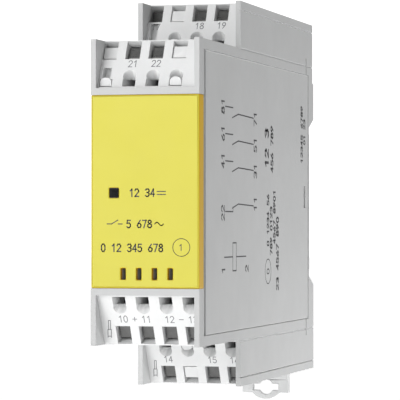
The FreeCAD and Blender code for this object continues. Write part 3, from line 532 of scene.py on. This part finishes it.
def stroke(points, width):
    """A line of even width through the points, as one quad for each run."""
    shapes = []
    for (x0, y0), (x1, y1) in zip(points, points[1:]):
        length = math.hypot(x1 - x0, y1 - y0)
        ux, uy = (x1 - x0) / length, (y1 - y0) / length
        half = width / 2
        x0, y0, x1, y1 = x0 - ux * half, y0 - uy * half, x1 + ux * half, y1 + uy * half
        shapes.append([(x0 + uy * half, y0 - ux * half), (x1 + uy * half, y1 - ux * half),
                       (x1 - uy * half, y1 + ux * half), (x0 - uy * half, y0 + ux * half)])
    return shapes


def ring_points(across, up, radius, count):
    """A full circle's points, from its right round to its right."""
    steps = [math.radians(360 * index / count) for index in range(count + 1)]
    return [(across + radius * math.cos(step), up + radius * math.sin(step)) for step in steps]


# Strokes of each digit on a grid 2 wide and 4 high.
DIGITS = {
    "0": [[(0, 1), (0, 3), (0.6, 4), (1.4, 4), (2, 3), (2, 1), (1.4, 0), (0.6, 0), (0, 1)]],
    "1": [[(0.3, 3.1), (1.2, 4), (1.2, 0)]],
    "2": [[(0, 3.2), (0.5, 4), (1.5, 4), (2, 3.2), (2, 2.6), (0, 0), (2, 0)]],
    "3": [[(0, 3.5), (0.6, 4), (1.5, 4), (2, 3.4), (2, 2.7), (1.3, 2.1), (0.8, 2.1)],
          [(1.3, 2.1), (2, 1.5), (2, 0.7), (1.4, 0), (0.6, 0), (0, 0.5)]],
    "4": [[(1.5, 0), (1.5, 4), (0, 1.2), (2.1, 1.2)]],
    "5": [[(1.9, 4), (0.3, 4), (0.1, 2.3), (1.3, 2.5), (2, 1.8), (2, 0.8), (1.4, 0), (0.6, 0), (0, 0.5)]],
    "6": [[(1.6, 4), (0.3, 2), (0, 1.1), (0.5, 0.1), (1.5, 0.1), (2, 0.9), (2, 1.6), (1.4, 2.2),
           (0.5, 2.1)]],
    "7": [[(0, 4), (2, 4), (0.7, 0)]],
    "8": [[(1, 2.2), (0.2, 2.8), (0.2, 3.5), (0.7, 4), (1.3, 4), (1.8, 3.5), (1.8, 2.8), (1, 2.2),
           (0, 1.5), (0, 0.6), (0.6, 0), (1.4, 0), (2, 0.6), (2, 1.5), (1, 2.2)]],
    "9": [[(0.4, 0), (1.7, 2), (2, 2.9), (1.5, 3.9), (0.5, 3.9), (0, 3.1), (0, 2.4), (0.6, 1.8), (1.5, 1.9)]],
}


def number(text, across, up, height, width=None):
    """A plain number whose lower left corner is at the given place."""
    unit = height / DIGIT_HEIGHT
    width = width or height * 0.13
    shapes = []
    for index, digit in enumerate(text):
        left = across + index * unit * DIGIT_STEP
        for line in DIGITS.get(digit, ()):
            shapes += stroke([(left + x * unit, up + y * unit) for x, y in line], width)
    return shapes


def number_width(text, height):
    """From the first digit's left side to the last one's right."""
    return height / DIGIT_HEIGHT * (DIGIT_STEP * len(text) - 1)


def print_on(name, shapes, origin, right, up, ink=INK):
    """Lay flat marks on a surface of the housing; right and up are its directions."""
    mesh = flat_mesh(name, shapes)
    mesh.materials.append(ink)
    piece = link_object(name, mesh)
    right, up = Vector(right).normalized(), Vector(up).normalized()
    out = right.cross(up)
    turn = Matrix((right, up, out)).transposed().to_4x4()
    mesh.transform(Matrix.Translation(Vector(origin) - out * INK_DEPTH / 2) @ turn)
    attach(piece, "housing")
    return piece


def front_marks():
    """Plain numbers and symbols on the coloured cover."""
    low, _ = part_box("front_cover")
    lens_low, lens_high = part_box("led_lens")
    row = (lens_low.z + lens_high.z) / 2
    line, tall, bold = 0.2 * MM, 1.45 * MM, 0.25 * MM
    start = lens_high.x + 2.3 * MM
    shapes = number("12 34", start, row - tall / 2, tall, bold)
    start += number_width("12 34", tall) + 0.6 * MM
    shapes += stroke([(start, row + 0.25 * MM), (start + 1.7 * MM, row + 0.25 * MM)], line)
    for index in range(3):
        left = start + index * 0.65 * MM
        shapes += stroke([(left, row - 0.35 * MM), (left + 0.4 * MM, row - 0.35 * MM)], line)
    # an open contact, a number and a wave
    row -= 6.2 * MM
    start = lens_low.x - 0.4 * MM
    shapes += stroke([(start, row), (start + 0.9 * MM, row)], line)
    shapes += stroke([(start + 0.9 * MM, row), (start + 2.2 * MM, row + 0.75 * MM)], line)
    shapes += stroke([(start + 2.3 * MM, row), (start + 3.1 * MM, row)], line)
    start += 4.1 * MM
    shapes += number("5 678", start, row - tall / 2, tall, bold)
    start += number_width("5 678", tall) + 0.7 * MM
    wave = [(start + index * 0.09 * MM, row + 0.32 * MM * math.sin(index * math.pi / 10))
            for index in range(21)]
    shapes += stroke(wave, line)
    # a row of numbers and a ring
    row -= 4.75 * MM
    shapes += number("0 12 345 678", lens_low.x - 1.6 * MM, row - tall / 2, tall, bold)
    ring = (7.55 * MM, row + 0.1 * MM)
    shapes += stroke(ring_points(*ring, 1.75 * MM, 40), 0.13 * MM)
    shapes += number("1", ring[0] - 0.4 * MM, ring[1] - 0.6 * MM, 1.2 * MM)
    print_on("front_marks", shapes, (0, low.y, 0), (1, 0, 0), (0, 0, 1))


def contact_row(level, number_left, number_right, opens, line):
    """One contact of the diagram, along the panel: a number, a lead, the blade and a number."""
    tall, bold = 2.3 * MM, 0.34 * MM
    shapes = []
    rise = 2.0 * MM if opens else -1.6 * MM
    for text, place, shift in ((number_left, 19.6 * MM, 0), (number_right, 46.8 * MM, rise)):
        shapes += turned(number(text, -number_width(text, tall) / 2, 0, tall, bold), place, level + shift)
    lead, lead_end = level + (0.3 * MM if opens else 0), 26.6 * MM
    shapes += stroke([(20.4 * MM, lead), (lead_end, lead)], line)
    if opens:
        shapes += stroke([(lead_end, lead), (lead_end, lead + 1.0 * MM)], line)
    blade = level + (1.0 * MM if opens else -2.1 * MM)
    shapes += stroke([(26.0 * MM, blade), (31.0 * MM, blade + 0.9 * MM), (44.0 * MM, blade + 0.6 * MM)], line)
    return shapes


def turned(shapes, along, level):
    """Marks turned to read upwards on the right side, their foot line at this place along it."""
    return [[(along - up, level + across) for across, up in shape] for shape in shapes]


def side_marks():
    """A plain contact diagram on the side panel: four contacts, a coil and rows of numbers."""
    _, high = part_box("side_cover")
    case_low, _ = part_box("housing")
    line = 0.26 * MM
    shapes = []
    rows = ((19.0, "81", "71", False), (13.4, "61", "51", False), (7.8, "41", "31", False),
            (-2.9, "22", "11", True))
    for level, left, right, opens in rows:
        shapes += contact_row(level * MM, left, right, opens, line)
    # the coil
    middle, foot, head = -12.0 * MM, -14.9 * MM, -9.1 * MM
    near, far = 26.4 * MM, 29.3 * MM
    shapes += stroke([(near, foot), (far, foot), (far, head), (near, head), (near, foot)], line)
    shapes += stroke([(19.5 * MM, middle), (near, middle)], line)
    shapes += stroke([(far, middle), (37.5 * MM, middle)], line)
    for text, place in (("1", 20.0 * MM), ("2", 39.5 * MM)):
        shapes += turned(number(text, 0, 0, 2.3 * MM, 0.34 * MM), place, middle - 3.2 * MM)
    # rows of plain numbers: their place from the front, level and height, in mm
    for text, place, level, tall in (("12 3", 57.5, 7.4, 2.9), ("456 789", 61.8, 6.3, 2.0),
                                     ("0 1234 56", 58.0, -9.9, 1.7), ("789 0123", 61.0, -11.9, 1.8),
                                     ("4567 8901", 64.0, -9.5, 1.8), ("23 4567 890", 67.0, -19.8, 2.0),
                                     ("12345 6789", 91.0, 9.0, 1.8), ("01 23", 93.6, 13.4, 1.6)):
        shapes += turned(number(text, 0, 0, tall * MM, tall * 0.2 * MM), place * MM, level * MM)
    shapes += stroke(ring_points(57.2 * MM, -15.6 * MM, 2.7 * MM, 36), 0.2 * MM)
    shapes += turned(number("0", -0.5 * MM, 0, 2.0 * MM), 58.2 * MM, -15.6 * MM)
    shapes = [[(along + case_low.y, level) for along, level in shape] for shape in shapes]
    print_on("side_marks", shapes, (high.x, 0, 0), (0, 1, 0), (0, 0, 1))


def sleeve_mark(across, foot, head):
    """A wire end in its sleeve: a narrow pin above a wider collar with two feet."""
    line = 0.15 * MM
    neck = foot + (head - foot) * 0.42
    wide, slim = 0.36 * MM, 0.2 * MM
    pin = [(-slim, neck), (-slim, head), (slim, head), (slim, neck)]
    collar = [(-wide, foot), (-wide, neck), (wide, neck), (wide, foot), (-wide, foot)]
    shapes = []
    for outline in (pin, collar):
        shapes += stroke([(across + x, up) for x, up in outline], line)
    for side in (-1, 1):
        shapes += stroke([(across + side * wide, foot), (across + side * wide, foot - 0.25 * MM)], line)
    return [[(x + 0.12 * (up - foot), up) for x, up in shape] for shape in shapes]


def terminal_marks():
    """A plain number beside each clamp, with signs on the supply's tier and a stripping mark below."""
    numbers = {"upper_front": ("21", "22"), "upper_rear": ("17", "18", "19"),
               "lower_front": ("10", "11", "12", "13"), "lower_rear": ("14", "15", "16")}
    tall, line, shift, arm = 1.4 * MM, 0.16 * MM, 0.3 * MM, 0.4 * MM
    slope = math.hypot(1, FACE_LEAN)
    for tier, texts in numbers.items():
        outer, inwards, height, nose = tier_of(tier, "")
        drop = 4.85 * MM if inwards < 0 else 5.3 * MM
        middle = inwards * drop * slope
        boxes = [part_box(name) for name in node_names("clamp_spring_" + tier)]
        poles = sorted((low.x + high.x) / 2 for low, high in boxes)
        shapes = []
        for text, pole in zip(texts, poles):
            left = pole + shift - number_width(text, tall) / 2
            shapes += number(text, left, middle - tall / 2, tall, line)
        if tier == "lower_front":
            for first, upright in ((0, True), (2, False)):
                centre = (poles[first] + poles[first + 1]) / 2 + shift
                shapes += stroke([(centre - arm, middle), (centre + arm, middle)], line)
                if upright:
                    shapes += stroke([(centre, middle - arm), (centre, middle + arm)], line)
        if inwards > 0:
            shapes += sleeve_mark(-8.9 * MM, 1.75 * MM * slope, 4.95 * MM * slope)
        place = (0, nose + FACE_LEAN * height, outer)
        up = (0, -inwards * FACE_LEAN, 1)
        print_on("marks_" + tier, shapes, place, (1, 0, 0), up, PALE_INK)


front_marks()
side_marks()
terminal_marks()


# ---------------------------------------------------------------- floor, light and camera

FLOOR_DROP = 260 * MM                    # the floor below the part
FLOOR_HALF = 20.0                        # metres
NEAR_GLOW, FAR_GLOW = 0.5, 1.05
GLOW_FROM, GLOW_TO = 0.4, 1.4            # metres from the middle
LENS, SENSOR = 221.9, 36                 # mm
EYE = (0.14002, -0.56694, -0.00481)      # worked out from the part's corners
TILT, SWING = 90.517, 15.334             # degrees
PART_MIDDLE = (0, -0.05, 0)


def floor():
    """A pale floor: dimmer under the part, glowing further off so that it runs into the white behind."""
    finish = Finish("pale_floor")
    tone = finish.blend(finish.spread(finish.noise(0.3, 3), 0, 1), (0.9, 0.9, 0.9), (0.93, 0.93, 0.93))
    finish.wire(tone, "Base Color")
    finish.wire(tone, "Emission Color")
    reach = finish.tree.nodes.new("ShaderNodeVectorMath")
    reach.operation = "LENGTH"
    finish.tree.links.new(finish.place, reach.inputs[0])
    finish.wire(finish.ranged(reach.outputs["Value"], GLOW_FROM, GLOW_TO, NEAR_GLOW, FAR_GLOW),
                "Emission Strength")
    finish.set(Roughness=0.9)
    half = FLOOR_HALF
    mesh = bpy.data.meshes.new("floor")
    corners = [(-half, -half, 0), (half, -half, 0), (half, half, 0), (-half, half, 0)]
    mesh.from_pydata(corners, [], [(0, 1, 2, 3)])
    mesh.materials.append(finish.material)
    ground = link_object("floor", mesh)
    ground.location.z = cad_low.z - FLOOR_DROP


def sky(strength):
    """Even studio light from all sides, seen as white behind the part."""
    world = bpy.data.worlds.new("studio")
    bpy.context.scene.world = world
    world.use_nodes = True
    tree = world.node_tree
    background = tree.nodes["Background"]
    background.inputs["Color"].default_value = (1, 1, 1, 1)
    seen = tree.nodes.new("ShaderNodeLightPath").outputs["Is Camera Ray"]
    level = tree.nodes.new("ShaderNodeMapRange")
    level.inputs["To Min"].default_value = strength
    level.inputs["To Max"].default_value = 1.2
    tree.links.new(seen, level.inputs["Value"])
    tree.links.new(level.outputs["Result"], background.inputs["Strength"])


def soft_light(name, place, target, size, power):
    """A round area lamp that the camera doesn't see; power in watts."""
    light = bpy.data.lights.new(name, "AREA")
    light.shape = "DISK"
    light.size = size
    light.energy = power
    lamp = link_object(name, light)
    lamp.location = place
    lamp.rotation_euler = (Vector(target) - Vector(place)).to_track_quat("-Z", "Y").to_euler()
    lamp.visible_camera = False


def camera():
    """A long lens to the right of the front, level with the middle."""
    data = bpy.data.cameras.new("camera")
    data.sensor_width = SENSOR
    data.lens = LENS
    eye = link_object("camera", data)
    eye.location = EYE
    eye.rotation_euler = (math.radians(TILT), 0, math.radians(SWING))
    bpy.context.scene.camera = eye


floor()
sky(0.08)
soft_light("key", (-0.38, -1.1, 0.42), PART_MIDDLE, 0.7, 7.3)
soft_light("low_front", (-0.2, -0.9, -0.24), PART_MIDDLE, 0.4, 1.5)
soft_light("upper_right", (0.62, 0.16, 0.55), PART_MIDDLE, 0.4, 1.1)
soft_light("low_right", (0.12, 0.015, -0.115), (0.01, -0.03, -0.03), 0.05, 0.11)
soft_light("top", (-0.1, 0.1, 0.9), PART_MIDDLE, 0.5, 3.0)
soft_light("back_left", (-0.6, 0.8, 0.3), PART_MIDDLE, 0.5, 1.5)
camera()
bpy.context.scene.view_settings.view_transform = "Standard"
